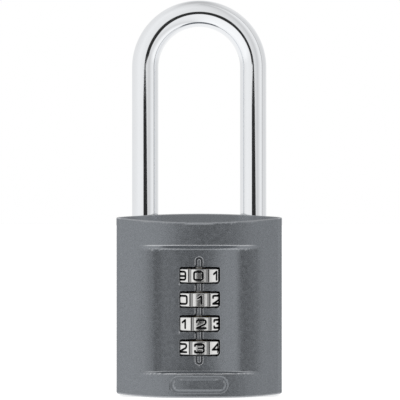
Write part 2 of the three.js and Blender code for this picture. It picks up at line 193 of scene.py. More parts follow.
def arch_drop(x, radius):
    """How far an arched face lies behind its crest."""
    return radius - np.sqrt(radius ** 2 - x * x)


def eased(t, ease):
    """0 below 0 and t above it, with the corner eased."""
    return np.where(np.abs(t) < ease, (t + ease) ** 2 / (4 * ease), np.maximum(t, 0.0))


def step_down(t):
    """0 to 1 in a straight ramp, with a crisp outer corner and a softer inner one."""
    return np.where(t < 0.5, eased(t, OUTER_EASE), 1.0 - eased(1.0 - t, INNER_EASE))


def outline_groove(field, width, ramp):
    """1 inside a groove of the given width that lies just inside a field's outline, 0 outside it."""
    return smooth_step(0.5 - (np.abs(field + width / 2) - width / 2) / ramp)


def trough_rise(x):
    """How far the panel's hollow comes forward: round in the middle, then straight."""
    reach = np.abs(x)
    lean = TROUGH_ARC_HALF / math.sqrt(TROUGH_RADIUS ** 2 - TROUGH_ARC_HALF ** 2)
    rise = arch_drop(np.minimum(reach, TROUGH_ARC_HALF), TROUGH_RADIUS)
    return rise + lean * np.maximum(0.0, reach - TROUGH_ARC_HALF)


def panel_hollow(x):
    """How far the dial panel lies behind the bulging face."""
    trough = PANEL_DEPTH - trough_rise(x)
    terrace = TERRACE_DEPTH + np.maximum(0.0, np.abs(x) - TERRACE_CREST_X) ** 2 / (2 * TERRACE_RADIUS)
    panel = blend_max(trough, terrace, RIDGE_BLEND) - arch_drop(x, FRONT_RADIUS)
    return blend_max(panel, np.zeros_like(panel), MERGE_BLEND)


def index_groove(x, z):
    """1 in the ring groove round the index rib."""
    middle = (INDEX_TOP_Z + INDEX_BOTTOM_Z) / 2
    half_height = (INDEX_TOP_Z - INDEX_BOTTOM_Z) / 2
    field = rounded_box(x, z - middle, INDEX_HALF_WIDTH, half_height, INDEX_HALF_WIDTH - 0.01)
    return outline_groove(field, INDEX_GROOVE, INDEX_RAMP)


def plaque_groove(x, z):
    """1 in the groove that outlines the plaque."""
    field = rounded_box(x, z - PLAQUE_Z, PLAQUE_HALF_WIDTH, PLAQUE_HALF_HEIGHT, PLAQUE_HALF_HEIGHT - 0.01)
    return outline_groove(field, PLAQUE_LINE, PLAQUE_RAMP)


def panel_inset(x, z):
    """How far the panel, the index groove and the plaque's line lie behind the bulging face."""
    rise = step_down((PANEL_TOP_Z - z) / PANEL_TOP_STEP) * step_down((z - PANEL_BOTTOM_Z) / PANEL_BOTTOM_STEP)
    return panel_hollow(x) * rise + INDEX_DEPTH * index_groove(x, z) + PLAQUE_DEPTH * plaque_groove(x, z)


def outer_form(x, y, z, carved):
    """The body's outside; carved adds the panel and lines of the front."""
    front = arch_drop(x, FRONT_RADIUS) - BODY_HALF_DEPTH
    if carved:
        front = front + panel_inset(x, z)
    rear = BODY_HALF_DEPTH - arch_drop(x, REAR_RADIUS)
    sides = np.abs(x) - BODY_HALF_WIDTH
    shell = round_max(np.maximum(front - y, y - rear), sides, SIDE_EDGE)
    slope = math.hypot(1.0, SHOULDER_SLOPE)
    top = z - top_z(x)
    shoulder = (top + SHOULDER_SLOPE * (np.abs(y) - PLATEAU_HALF_DEPTH)) / slope
    cap = round_max(top, shoulder, SHOULDER_EDGE)
    shell = round_max(shell, cap, SHOULDER_EDGE)
    return round_max(shell, bottom_z(x) - z, OUTLINE_EDGE)


def window_edge(x, z, dial_z):
    """Distance to one dial window's outline in the front view."""
    middle = dial_z + WINDOW_LIFT
    return rounded_box(x - WINDOW_SHIFT, z - middle, WINDOW_HALF_WIDTH, WINDOW_HEIGHT / 2, WINDOW_CORNER)


def post(x, y, z, centre_x, centre_y, radius, low, high):
    """An upright cylinder."""
    around = np.hypot(x - centre_x, y - centre_y) - radius
    return np.maximum(around, np.maximum(low - z, z - high))


def cover_field(x, y, z, depth, margin):
    """The room of the inset rear plate, which follows the rear face."""
    rear = BODY_HALF_DEPTH - arch_drop(x, REAR_RADIUS)
    half_u = cover_high[0] + margin
    half_v = (cover_high[2] - cover_low[2]) / 2 + margin
    middle = (cover_high[2] + cover_low[2]) / 2
    edge = rounded_box(x, z - middle, half_u, half_v, COVER_CORNER + margin)
    return np.maximum(edge, (rear - depth) - y)


def housing_field(x, y, z):
    """The die-cast housing: the outer form with its windows, pockets, bores and cover recess."""
    body = outer_form(x, y, z, carved=True)
    for dial_z in DIAL_Z:
        window = np.maximum(window_edge(x, z, dial_z), y - DIAL_AXIS_Y)
        body = round_max(body, -window, WINDOW_EDGE)
    radius = DIAL_RADIUS + POCKET_RADIAL_GAP
    for dial_z in DIAL_Z:
        low = dial_z - DIAL_HALF_HEIGHT - POCKET_GAP
        high = dial_z + DIAL_HALF_HEIGHT + POCKET_GAP
        pocket = post(x, y, z, 0.0, DIAL_AXIS_Y, radius, low, high)
        body = np.maximum(body, -pocket)
    for leg_x, floor_z in ((LEG_X, BORE_FLOOR_Z), (-LEG_X, TOE_BORE_FLOOR_Z)):
        bore = post(x, y, z, leg_x, 0.0, ROD_RADIUS + BORE_CLEARANCE, floor_z, BODY_HEIGHT + CLEAR_ABOVE)
        body = round_max(body, -bore, BORE_EDGE)
    recess = cover_field(x, y, z, COVER_THICKNESS + COVER_GAP, COVER_GAP)
    return round_max(body, -recess, RECESS_EDGE)


def rear_cover_field(x, y, z):
    """The inset rear plate, with a light edge round."""
    plate = cover_field(x, y, z, COVER_THICKNESS, 0.0)
    body = round_max(outer_form(x, y, z, carved=False), plate, COVER_EDGE)
    for low, high in rivet_boxes:
        reach = np.hypot(x - (low[0] + high[0]) / 2, z - (low[2] + high[2]) / 2)
        hole_radius = (high[0] - low[0]) / 2 + RIVET_HOLE_GAP
        body = round_max(body, hole_radius - reach, RIVET_HOLE_EDGE)
    return body


# ---- meshes from distance fields ----

def graded(low, high, coarse, spots):
    """Grid lines from low to high, closer together near spots given as (centre, reach, spacing)."""
    places = [low]
    while places[-1] < high:
        here = places[-1]
        steps = [fine for centre, reach, fine in spots if abs(here - centre) < reach]
        places.append(here + min(steps, default=coarse))
    return np.array(places)


def crossing_sums(values, lines):
    """For each grid cell, how many of its edges cross zero and the sum of the crossing points."""
    cells = tuple(n - 1 for n in values.shape)
    total = np.zeros(cells + (3,), np.float32)
    count = np.zeros(cells, np.float32)
    for axis in range(3):
        others = [a for a in range(3) if a != axis]
        for u, v in ((0, 0), (0, 1), (1, 0), (1, 1)):
            cut = [slice(0, cells[axis])] * 3
            cut[others[0]] = slice(u, u + cells[others[0]])
            cut[others[1]] = slice(v, v + cells[others[1]])
            far = list(cut)
            far[axis] = slice(1, cells[axis] + 1)
            a = values[tuple(cut)]
            b = values[tuple(far)]
            where = np.nonzero((a < 0) != (b < 0))
            share = a[where] / (a[where] - b[where])
            for k in range(3):
                place = lines[k][cut[k]][where[k]]
                if k == axis:
                    place = place + share * (lines[k][far[k]][where[k]] - place)
                total[where + (k,)] += place
            count[where] += 1
    return total, count


def crossing_quads(inside, number, axis):
    """A quad round each grid edge along an axis that crosses the surface, facing out."""
    u, v = [a for a in range(3) if a != axis]
    near = [slice(1, size - 1) for size in inside.shape]
    near[axis] = slice(0, inside.shape[axis] - 1)
    far = list(near)
    far[axis] = slice(1, inside.shape[axis])
    a = inside[tuple(near)]
    b = inside[tuple(far)]
    where = np.nonzero(a != b)
    corners = []
    for du, dv in ((0, 0), (1, 0), (1, 1), (0, 1)):
        at = [w.copy() for w in where]
        at[u] += du
        at[v] += dv
        corners.append(number[tuple(at)])
    quads = np.stack(corners, 1)
    leaving = a[where]
    flip = leaving if axis == 1 else ~leaving
    quads[flip] = quads[flip][:, ::-1]
    return quads


def surface_net(field, xs, ys, zs):
    """A closed quad mesh of the zero surface of a field on a grid, one point per crossed cell."""
    grid = np.meshgrid(xs, ys, zs, indexing="ij", sparse=True)
    values = np.broadcast_to(field(*grid), (len(xs), len(ys), len(zs))).astype(np.float32)
    total, count = crossing_sums(values, (xs, ys, zs))
    used = count > 0
    number = np.full(count.shape, -1, np.int64)
    number[used] = np.arange(int(used.sum()))
    points = total[used] / count[used][:, None]
    quads = [crossing_quads(values < 0, number, axis) for axis in range(3)]
    return points.astype(np.float64), np.concatenate(quads)


def slope_of(field, points, step=0.01):
    """The field's gradient at points, by central differences."""
    slope = np.empty_like(points)
    for k in range(3):
        ahead = points.copy()
        behind = points.copy()
        ahead[:, k] += step
        behind[:, k] -= step
        slope[:, k] = (field(*ahead.T) - field(*behind.T)) / (2 * step)
    return slope


def unit_slope(field, points):
    """The outward unit normal at points."""
    slope = slope_of(field, points)
    return slope / np.maximum(np.linalg.norm(slope, axis=1, keepdims=True), 1e-9)


def settled(field, points, rounds=3, most=0.2):
    """Points moved onto the zero surface."""
    for _ in range(rounds):
        slope = slope_of(field, points)
        size = np.maximum((slope ** 2).sum(1), 0.05)
        move = -(field(*points.T) / size)[:, None] * slope
        length = np.maximum(np.linalg.norm(move, axis=1, keepdims=True), 1e-9)
        points = points + move * np.minimum(1.0, most / length)
    return points


def mesh_object(name, points, faces, material):
    """A smooth-shaded Blender mesh object from points in millimetres."""
    mesh = bpy.data.meshes.new(name)
    points = np.asarray(points, dtype=np.float64) * MM
    if isinstance(faces, np.ndarray):
        sides = faces.shape[1]
        mesh.vertices.add(len(points))
        mesh.vertices.foreach_set("co", points.ravel())
        mesh.loops.add(faces.size)
        mesh.loops.foreach_set("vertex_index", faces.astype(np.int32).ravel())
        mesh.polygons.add(len(faces))
        mesh.polygons.foreach_set("loop_start", np.arange(0, faces.size, sides, dtype=np.int32))
        mesh.update(calc_edges=True)
    else:
        mesh.from_pydata([tuple(p) for p in points], [], faces)
    mesh.validate()
    mesh.polygons.foreach_set("use_smooth", np.full(len(mesh.polygons), True))
    mesh.materials.append(material)
    piece = bpy.data.objects.new(name, mesh)
    bpy.context.scene.collection.objects.link(piece)
    return piece


def attach(piece, label, values):
    """A number for each point, for the piece's material."""
    layer = piece.data.attributes.new(label, "FLOAT", "POINT")
    layer.data.foreach_set("value", np.asarray(values, np.float32).ravel())


def curvature(field, points):
    """How sharply the surface bends: above zero on outer edges, below zero in hollows."""
    bend = np.zeros(len(points))
    for k in range(3):
        offset = np.zeros(3)
        offset[k] = EDGE_PROBE
        change = unit_slope(field, points + offset)[:, k] - unit_slope(field, points - offset)[:, k]
        bend += change / (2 * EDGE_PROBE)
    return bend


def painted_edge_highlight(field, points):
    """Painted highlight: 1 at sharp outer edges, 0 where the surface is flat or hollow."""
    return np.clip((curvature(field, points) - HIGHLIGHT_START) / HIGHLIGHT_RANGE, 0.0, 1.0)


def field_object(name, field, xs, ys, zs, material):
    """A mesh object of a field's zero surface with the field's own normals, and its points."""
    points, quads = surface_net(field, xs, ys, zs)
    points = settled(field, points)
    piece = mesh_object(name, points, quads, material)
    piece.data.normals_split_custom_set_from_vertices([tuple(n) for n in unit_slope(field, points)])
    return piece, points


# ---- materials ----

def new_material(name, colour, metallic, roughness):
    """A node material, its tree and its shader."""
    material = bpy.data.materials.new(name)
    material.use_nodes = True
    shader = material.node_tree.nodes["Principled BSDF"]
    shader.inputs["Base Color"].default_value = (*colour, 1.0)
    shader.inputs["Metallic"].default_value = metallic
    shader.inputs["Roughness"].default_value = roughness
    return material, material.node_tree, shader


def noise(tree, scale, detail=2.0):
    """Fine noise fixed to the piece."""
    where = tree.nodes.new("ShaderNodeTexCoord")
    texture = tree.nodes.new("ShaderNodeTexNoise")
    texture.inputs["Scale"].default_value = scale
    texture.inputs["Detail"].default_value = detail
    tree.links.new(where.outputs["Object"], texture.inputs["Vector"])
    return texture.outputs["Fac"]


def ranged(tree, value, low, high, from_low=0.3, from_high=0.7):
    """low to high while value goes from from_low to from_high."""
    spread = tree.nodes.new("ShaderNodeMapRange")
    spread.inputs["From Min"].default_value = from_low
    spread.inputs["From Max"].default_value = from_high
    spread.inputs["To Min"].default_value = low
    spread.inputs["To Max"].default_value = high
    tree.links.new(value, spread.inputs["Value"])
    return spread.outputs["Result"]


def bumped(tree, shader, height, distance, strength):
    """Fine relief from a height value."""
    bump = tree.nodes.new("ShaderNodeBump")
    bump.inputs["Distance"].default_value = distance
    bump.inputs["Strength"].default_value = strength
    tree.links.new(height, bump.inputs["Height"])
    tree.links.new(bump.outputs["Normal"], shader.inputs["Normal"])


def attribute(tree, name):
    """A value stored on the mesh's points."""
    node = tree.nodes.new("ShaderNodeAttribute")
    node.attribute_name = name
    return node.outputs["Fac"]


def blended(tree, factor, first, second):
    """Two colours mixed by a factor; each is a value list or a socket."""
    mix = tree.nodes.new("ShaderNodeMix")
    mix.data_type = "RGBA"
    tree.links.new(factor, mix.inputs[0])
    for socket, colour in ((mix.inputs[6], first), (mix.inputs[7], second)):
        if isinstance(colour, tuple):
            socket.default_value = (*colour, 1.0)
        else:
            tree.links.new(colour, socket)
    return mix.outputs[2]


def arithmetic(tree, operation, a, b=None):
    """A math node's result; each operand is a number or a socket."""
    node = tree.nodes.new("ShaderNodeMath")
    node.operation = operation
    for socket, value in zip(node.inputs, (a, b)):
        if value is None:
            continue
        if isinstance(value, (int, float)):
            socket.default_value = value
        else:
            tree.links.new(value, socket)
    return node.outputs[0]


def lacquer_material():
    """Grey metallic lacquer with fine flake, lightened by a painted highlight along edges and darkened by
    painted shade inside the cut-outs.
    """
    material, tree, shader = new_material("grey_lacquer", (0.22, 0.23, 0.24), 0.78, 0.25)
    flake = ranged(tree, noise(tree, 2600.0, 3.0), 0.0, 1.0, 0.25, 0.75)
    colour = blended(tree, flake, (0.182, 0.195, 0.21), (0.242, 0.257, 0.278))
    # Painted highlight: a pale grey mixed in along sharp edges and the ledge lines.
    colour = blended(tree, attribute(tree, "painted_highlight"), colour, (0.66, 0.67, 0.69))
    # Painted shade: near black inside windows, pockets, bores and grooves.
    colour = blended(tree, attribute(tree, "inner"), colour, (0.02, 0.02, 0.022))
    tree.links.new(colour, shader.inputs["Base Color"])
    rough = ranged(tree, noise(tree, 900.0), 0.22, 0.29)
    tree.links.new(rough, shader.inputs["Roughness"])
    bumped(tree, shader, noise(tree, 1800.0), 0.00001, 0.15)
    return material


def chrome_material():
    """Polished chrome plating with faint uneven polish."""
    material, tree, shader = new_material("polished_chrome", (0.89, 0.9, 0.915), 1.0, 0.05)
    rough = ranged(tree, noise(tree, 260.0), 0.035, 0.07)
    tree.links.new(rough, shader.inputs["Roughness"])
    colour = blended(tree, noise(tree, 90.0), (0.865, 0.88, 0.9), (0.915, 0.93, 0.95))
    tree.links.new(colour, shader.inputs["Base Color"])
    bumped(tree, shader, noise(tree, 500.0), 0.000004, 0.1)
    return material


def dial_material():
    """Bright nickel with painted shade in the grip notches; the engraved digits are filled with black enamel.
    """
    material, tree, shader = new_material("nickel_and_black_enamel", (0.85, 0.845, 0.83), 1.0, 0.2)
    painted = ranged(tree, attribute(tree, "ink"), 1.0, 0.0, 0.0, 0.05)
    nickel = blended(tree, noise(tree, 800.0), (0.76, 0.757, 0.745), (0.84, 0.837, 0.825))
    # Painted shade: dark grey mixed into the grip notches.
    notch_shaded = blended(tree, attribute(tree, "painted_notch_shade"), nickel, (0.08, 0.08, 0.082))
    colour = blended(tree, painted, notch_shaded, (0.008, 0.008, 0.009))
    tree.links.new(colour, shader.inputs["Base Color"])
    rough = ranged(tree, painted, 0.18, 0.55, 0.0, 1.0)
    tree.links.new(rough, shader.inputs["Roughness"])
    bumped(tree, shader, noise(tree, 2500.0), 0.000006, 0.2)
    return material


def metal_material(name, dark, light, roughness):
    """Plain metal, mottled between two colours."""
    scale = 300.0
    material, tree, shader = new_material(name, light, 1.0, roughness)
    colour = blended(tree, noise(tree, scale), dark, light)
    tree.links.new(colour, shader.inputs["Base Color"])
    rough = ranged(tree, noise(tree, scale * 3.0), roughness * 0.85, roughness * 1.2)
    tree.links.new(rough, shader.inputs["Roughness"])
    bumped(tree, shader, noise(tree, scale * 4.0), 0.00001, 0.2)
    return material


lacquer = lacquer_material()
chrome = chrome_material()
dial_finish = dial_material()
bare_steel = metal_material("bare_steel", (0.5, 0.505, 0.51), (0.64, 0.645, 0.65), 0.32)
spring_steel = metal_material("spring_steel", (0.33, 0.34, 0.37), (0.45, 0.46, 0.49), 0.3)
brass = metal_material("sleeve_brass", (0.62, 0.47, 0.2), (0.76, 0.6, 0.3), 0.3)


# ---- housing and rear cover ----

# Each ledge of the panel gets a painted highlight along its brink and a fainter one along its foot.
BRINK_HIGHLIGHT = 0.75
BRINK_SPREAD = 0.2
TOP_BRINK_DEPTH = 0.35
BOTTOM_BRINK_DEPTH = 1.2
FOOT_HIGHLIGHT = 0.55
FOOT_SPREAD = 0.22
FOOT_START = 0.8
FOOT_RANGE = 0.15
LEDGE_ROOM_ABOVE = 1.5
LEDGE_ROOM_BELOW = 1.0
LEDGE_HALF_LENGTH = 19.0
THIN = 0.05
WINDOW_BORDER = 0.35
WINDOW_HIGHLIGHT = 0.25
PLAQUE_HIGHLIGHT = 0.35


def ledge_line(x, z, height, spread):
    """1 along one edge of a panel ledge, fading over spread and towards the panel's sides."""
    return np.clip(1.2 - np.abs(z - height) / spread, 0.0, 1.0) * smooth_step((panel_hollow(x) - 0.06) / 0.3)


def near_window(x, y, z):
    """True on the front inside a window's outline and just round it."""
    rim = np.minimum.reduce([window_edge(x, z, dial_z) for dial_z in DIAL_Z])
    return (y < 0) & (rim < WINDOW_BORDER)


def housing_painted_highlight(points):
    """Painted highlight on sharp edges, fainter by the windows and the plaque, and in its place thin painted
    highlight lines along the ledges' brinks and feet.
    """
    x, y, z = points.T
    front = y < 0
    inset = panel_inset(x, z)
    by_ledge = (z > PANEL_TOP_Z - LEDGE_ROOM_ABOVE) | (z < PANEL_BOTTOM_Z + LEDGE_ROOM_BELOW)
    painted_highlight = painted_edge_highlight(housing_field, points)
    painted_highlight = np.where(near_window(x, y, z), WINDOW_HIGHLIGHT * painted_highlight, painted_highlight)
    painted_highlight = np.where(front & by_ledge & (inset > THIN) & (np.abs(x) < LEDGE_HALF_LENGTH), 0.0, painted_highlight)
    painted_highlight = np.where(np.abs(z - PLAQUE_Z) < PLAQUE_HALF_HEIGHT + 0.3, PLAQUE_HIGHLIGHT * painted_highlight, painted_highlight)
    share = inset / np.maximum(panel_hollow(x), THIN)
    foot = np.clip((share - FOOT_START) / FOOT_RANGE, 0.0, 1.0)
    ledges = ((PANEL_TOP_Z, -PANEL_TOP_STEP, TOP_BRINK_DEPTH),
              (PANEL_BOTTOM_Z, PANEL_BOTTOM_STEP, BOTTOM_BRINK_DEPTH))
    for height, step, depth in ledges:
        brink = np.clip(1.0 - inset / depth, 0.0, 1.0)
        brink_line = BRINK_HIGHLIGHT * brink * ledge_line(x, z, height, BRINK_SPREAD)
        foot_line = FOOT_HIGHLIGHT * foot * ledge_line(x, z, height + step, FOOT_SPREAD)
        painted_highlight = np.maximum(painted_highlight, front * np.maximum(brink_line, foot_line))
    return painted_highlight


def housing_shade(points, painted_highlight):
    """The shade inside windows, pockets, bores and grooves."""
    x, y, z = points.T
    sunk = -outer_form(x, y, z, carved=True)
    hidden = smooth_step((sunk - np.where(near_window(x, y, z), 0.04, 0.4)) / 0.2)
    ring = np.where(y < 0, index_groove(x, z), 0.0)
    outline = np.where(y < 0, plaque_groove(x, z), 0.0)
    return np.maximum(hidden, np.maximum(0.6 * ring * (1 - painted_highlight), 0.25 * outline))


def mirrored(spots):
    """Spots on the right and their mirror images on the left."""
    return [(side * at, reach, fine) for side in (-1, 1) for at, reach, fine in spots]


def housing_grid():
    """Grid lines for the housing, close together where it has edges and grooves."""
    across = [(0.0, 1.35, 0.12)]
    across += mirrored([(WINDOW_HALF_WIDTH, 0.5, 0.15), (PLAQUE_HALF_WIDTH - 1.2, 1.3, 0.22),
                        (BODY_HALF_WIDTH - 0.6, 0.9, 0.25)])
    deep = mirrored([(PLATEAU_HALF_DEPTH, 0.6, 0.28)])
    deep += [(-BODY_HALF_DEPTH + 1.6, 1.9, 0.16), (BODY_HALF_DEPTH - 0.8, 1.2, 0.28)]
    rims = [z + WINDOW_LIFT + side * WINDOW_HEIGHT / 2 for z in DIAL_Z for side in (-1, 1)]
    up = [(z, 0.35, 0.14) for z in rims]
    up += [(INDEX_BOTTOM_Z + 0.5, 0.9, 0.12), (INDEX_TOP_Z - 0.5, 0.9, 0.12)]
    up += [(PANEL_TOP_Z - PANEL_TOP_STEP / 2, 0.8, 0.11), (PANEL_BOTTOM_Z + PANEL_BOTTOM_STEP / 2, 0.5, 0.09)]
    up += [(PLAQUE_Z + side * (PLAQUE_HALF_HEIGHT - 0.25), 0.6, 0.14) for side in (-1, 1)]
    up += [(0.4, 1.0, 0.16), (BODY_HEIGHT - 0.6, 1.0, 0.22), (BODY_HEIGHT - 1.9, 1.1, 0.14)]
    xs = graded(-BODY_HALF_WIDTH - 0.6, BODY_HALF_WIDTH + 0.6, 0.56, across)
    ys = graded(-BODY_HALF_DEPTH - 0.5, BODY_HALF_DEPTH + 0.5, 0.8, deep)
    zs = graded(-0.6, BODY_HEIGHT + 0.6, 0.75, up)
    return xs, ys, zs


def housing():
    """The die-cast body, with its painted edge highlight and painted shade."""
    piece, points = field_object("housing_casting", housing_field, *housing_grid(), lacquer)
    painted_highlight = housing_painted_highlight(points)
    # Painted highlight along the edges and ledges.
    attach(piece, "painted_highlight", painted_highlight)
    # Painted shade in the cut-outs and grooves.
    attach(piece, "inner", housing_shade(points, painted_highlight))
    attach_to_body(piece, "body")
    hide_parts("housing")


def rear_cover():
    """The inset plate that closes the dial pockets from behind."""
    holes = [((low[0] + high[0]) / 2, (low[2] + high[2]) / 2) for low, high in rivet_boxes]
    across = [(cover_low[0], 0.6, 0.2), (cover_high[0], 0.6, 0.2)] + [(x, 2.3, 0.25) for x, _ in holes]
    up = [(cover_low[2], 0.6, 0.2), (cover_high[2], 0.6, 0.2)] + [(z, 2.3, 0.25) for _, z in holes]
    xs = graded(cover_low[0] - 0.6, cover_high[0] + 0.6, 0.7, across)
    ys = np.arange(BODY_HALF_DEPTH - 3.8, BODY_HALF_DEPTH + 0.6, 0.25)
    zs = graded(cover_low[2] - 0.6, cover_high[2] + 0.6, 0.7, up)
    piece, points = field_object("rear_cover_plate", rear_cover_field, xs, ys, zs, lacquer)
    # Painted highlight along the plate's sharp edges.
    attach(piece, "painted_highlight", painted_edge_highlight(rear_cover_field, points))
    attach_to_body(piece, "body")
    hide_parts("rear_cover")


# ---- shackle ----

NECK_RADIUS = 2.7
LEG_CHAMFER = 0.4
TOE_CHAMFER = 0.9
LEG_STEPS = 40
ARCH_STEPS = 112
ROD_SIDES = 72


def leg_rings(x, direction, stations):
    """Upright rings at stations given as (height, radius)."""
    return [(x, z, 0.0, direction, radius) for z, radius in stations]


def shackle_rings():
    """Each ring's centre, direction and radius, from the long leg's end to the toe."""
    yoke_low, yoke_high = box_mm("yoke")
    low = yoke_low[2] - 0.2
    high = yoke_high[2] + 0.2
    straight = high + 0.15
    toe_top = TOE_END_Z + TOE_CHAMFER
    shares = [i / LEG_STEPS for i in range(1, LEG_STEPS)]
    neck = [(LONG_LEG_END_Z, 0.0), (LONG_LEG_END_Z, ROD_RADIUS - LEG_CHAMFER),
            (LONG_LEG_END_Z + LEG_CHAMFER, ROD_RADIUS), (low, ROD_RADIUS), (low, NECK_RADIUS),
            (high, NECK_RADIUS), (high, ROD_RADIUS - 0.15), (straight, ROD_RADIUS)]
    long_leg = [(straight + (ARCH_Z - straight) * share, ROD_RADIUS) for share in shares]
    short_leg = [(ARCH_Z + (toe_top - ARCH_Z) * share, ROD_RADIUS) for share in shares]
    toe = [(toe_top, ROD_RADIUS), (TOE_END_Z + 0.3, ROD_RADIUS - 0.6),
           (TOE_END_Z, ROD_RADIUS - 1.0), (TOE_END_Z, 0.0)]
    arch = []
    for i in range(ARCH_STEPS + 1):
        angle = math.pi * i / ARCH_STEPS
        arch.append((LEG_X * math.cos(angle), ARCH_Z + LEG_X * math.sin(angle),
                     -math.sin(angle), math.cos(angle), ROD_RADIUS))
    return leg_rings(LEG_X, 1.0, neck + long_leg) + arch + leg_rings(-LEG_X, -1.0, short_leg + toe)


def swept(rings, sides):
    """Points and quads of round rings in the XZ plane, each (x, z, direction x, direction z, radius)."""
    points = []
    faces = []
    for x, z, along_x, along_z, radius in rings:
        radius = max(radius, 0.001)
        for k in range(sides):
            angle = 2 * math.pi * k / sides
            out = radius * math.cos(angle)
            points.append((x + out * along_z, -radius * math.sin(angle), z - out * along_x))
    for i in range(len(rings) - 1):
        for k in range(sides):
            n = (k + 1) % sides
            faces.append((i * sides + k, (i + 1) * sides + k, (i + 1) * sides + n, i * sides + n))
    faces.append(tuple(range(sides)))
    last = (len(rings) - 1) * sides
    faces.append(tuple(last + k for k in reversed(range(sides))))
    return points, faces


def shackle():
    """The chromed rod, from the long leg's grooved end over the arch to the toe."""
    points, faces = swept(shackle_rings(), ROD_SIDES)
    piece = mesh_object("chromed_shackle", points, faces, chrome)
    piece.data.set_sharp_from_angle(angle=math.radians(32))
    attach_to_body(piece, "shackle_set")
    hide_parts("shackle")


# ---- dials ----

DIGIT_HALF_WIDTH = 1.34
DIGIT_HALF_HEIGHT = 1.2
DIGIT_STROKE = 0.54
DIGIT_CORNER = 0.62
ENGRAVING = 0.13
DIGIT_STEP = 2 * math.pi / 10
GRIP_HALF_WIDTH = 0.46
GRIP_DEPTH = 0.5
GRIP_RAMP = 0.25
ENGRAVING_RAMP = 0.12
DIAL_CHAMFER = 0.16
DIAL_BORE = 5.9
DIAL_COLUMNS = 960
DIAL_ROWS = 35
# The digit in the middle of each window, top to bottom, and how far each dial stands off it in degrees.
SHOWN_DIGITS = (0, 1, 2, 3)
DIAL_SLACK = (-1.4, 1.8, 4.3, 0.6)

# Strokes in half-widths and half-heights of the digit; True closes a stroke.
DIGIT_STROKES = {
    0: [([(-1, -1), (1, -1), (1, 1), (-1, 1)], True)],
    1: [([(-0.45, 0.4), (0.3, 1), (0.3, -1)], False)],
    2: [([(-1, 0.5), (-1, 1), (1, 1), (1, 0.1), (-1, -0.95), (-1, -1), (1, -1)], False)],
    3: [([(-1, 0.6), (-1, 1), (1, 1), (1, 0.05), (-0.2, 0.05)], False),
        ([(-0.2, 0.05), (1, 0.05), (1, -1), (-1, -1), (-1, -0.6)], False)],
    4: [([(0.5, -1), (0.5, 1), (-1, -0.4), (1, -0.4)], False)],
    5: [([(0.9, 1), (-0.85, 1), (-0.85, 0.15), (1, 0.15), (1, -1), (-1, -1), (-1, -0.65)], False)],
    6: [([(0.8, 1), (-1, 1), (-1, -1), (1, -1), (1, 0.08), (-0.9, 0.08)], False)],
    7: [([(-1, 1), (1, 1), (-0.15, -1)], False)],
    8: [([(-1, -1), (1, -1), (1, 1), (-1, 1)], True), ([(-0.9, 0.05), (0.9, 0.05)], False)],
    9: [([(-0.8, -1), (1, -1), (1, 1), (-1, 1), (-1, -0.08), (0.9, -0.08)], False)],
}
# The corners of each digit that stay sharp, counted from the stroke's start.
SHARP_CORNERS = {1: {1}, 2: {4, 5}, 4: {1, 2}, 5: {1}, 7: {1}}


def rounded_stroke(corners, closed, sharp):
    """A stroke's corner points in millimetres, with short arcs in place of its corners."""
    at = [np.array((u * DIGIT_HALF_WIDTH, v * DIGIT_HALF_HEIGHT)) for u, v in corners]
    count = len(at)
    path = []
    for i in range(count):
        if (not closed and i in (0, count - 1)) or i in sharp:
            path.append(at[i])
            continue
        before = at[i - 1] - at[i]
        after = at[(i + 1) % count] - at[i]
        reach = min(DIGIT_CORNER, 0.48 * np.linalg.norm(before), 0.48 * np.linalg.norm(after))
        start = at[i] + before / np.linalg.norm(before) * reach
        end = at[i] + after / np.linalg.norm(after) * reach
        for t in np.linspace(0.0, 1.0, 7):
            path.append((1 - t) ** 2 * start + 2 * t * (1 - t) * at[i] + t * t * end)
    if closed:
        path.append(path[0])
    return path


def stroke_distance(u, v, path):
    """Distance from points to a path of straight pieces."""
    nearest = np.full(np.broadcast(u, v).shape, 9.0)
    for a, b in zip(path[:-1], path[1:]):
        along = b - a
        length = max(float(along @ along), 1e-9)
        t = np.clip(((u - a[0]) * along[0] + (v - a[1]) * along[1]) / length, 0.0, 1.0)
        nearest = np.minimum(nearest, np.hypot(u - a[0] - t * along[0], v - a[1] - t * along[1]))
    return nearest


def digit_distance(digit, u, v):
    """Distance from points to one digit's outline, below zero inside its strokes."""
    strokes = DIGIT_STROKES[digit]
    sharp = SHARP_CORNERS.get(digit, set())
    paths = [rounded_stroke(corners, closed, sharp) for corners, closed in strokes]
    return np.minimum.reduce([stroke_distance(u, v, path) for path in paths]) - DIGIT_STROKE / 2


def half_turn_range(angle):
    """The same angle, from half a turn back to half a turn on."""
    return (angle + math.pi) % (2 * math.pi) - math.pi


def digits_round_rim(shown, turn, heights):
    """Distance from each point of a dial's rim to its digits' outlines."""
    ink = np.full((len(heights), len(turn)), 1.0)
    for digit in range(10):
        offset = half_turn_range(turn - (digit - shown) * DIGIT_STEP)
        near = np.abs(offset) < DIGIT_STEP / 2
        u = (offset[near] * DIAL_RADIUS)[None, :]
        ink[:, near] = np.minimum(ink[:, near], digit_distance(digit, u, heights[:, None]))
    return ink


def grip_round_rim(turn):
    """1 on the floor of the grip groove between two digits and 0 beside it."""
    steps = turn / DIGIT_STEP - 0.5
    beside = np.abs(steps - np.round(steps)) * DIGIT_STEP * DIAL_RADIUS - GRIP_HALF_WIDTH
    return smooth_step(0.5 - beside / GRIP_RAMP)


def ring_quads(rows, columns):
    """Quads between rings of points, the last ring joined to the first."""
    row, column = np.meshgrid(np.arange(rows), np.arange(columns), indexing="ij")
    after = (column + 1) % columns
    above = (row + 1) % rows
    here = row * columns
    there = above * columns
    return np.stack([here + column, here + after, there + after, there + column], -1).reshape(-1, 4)


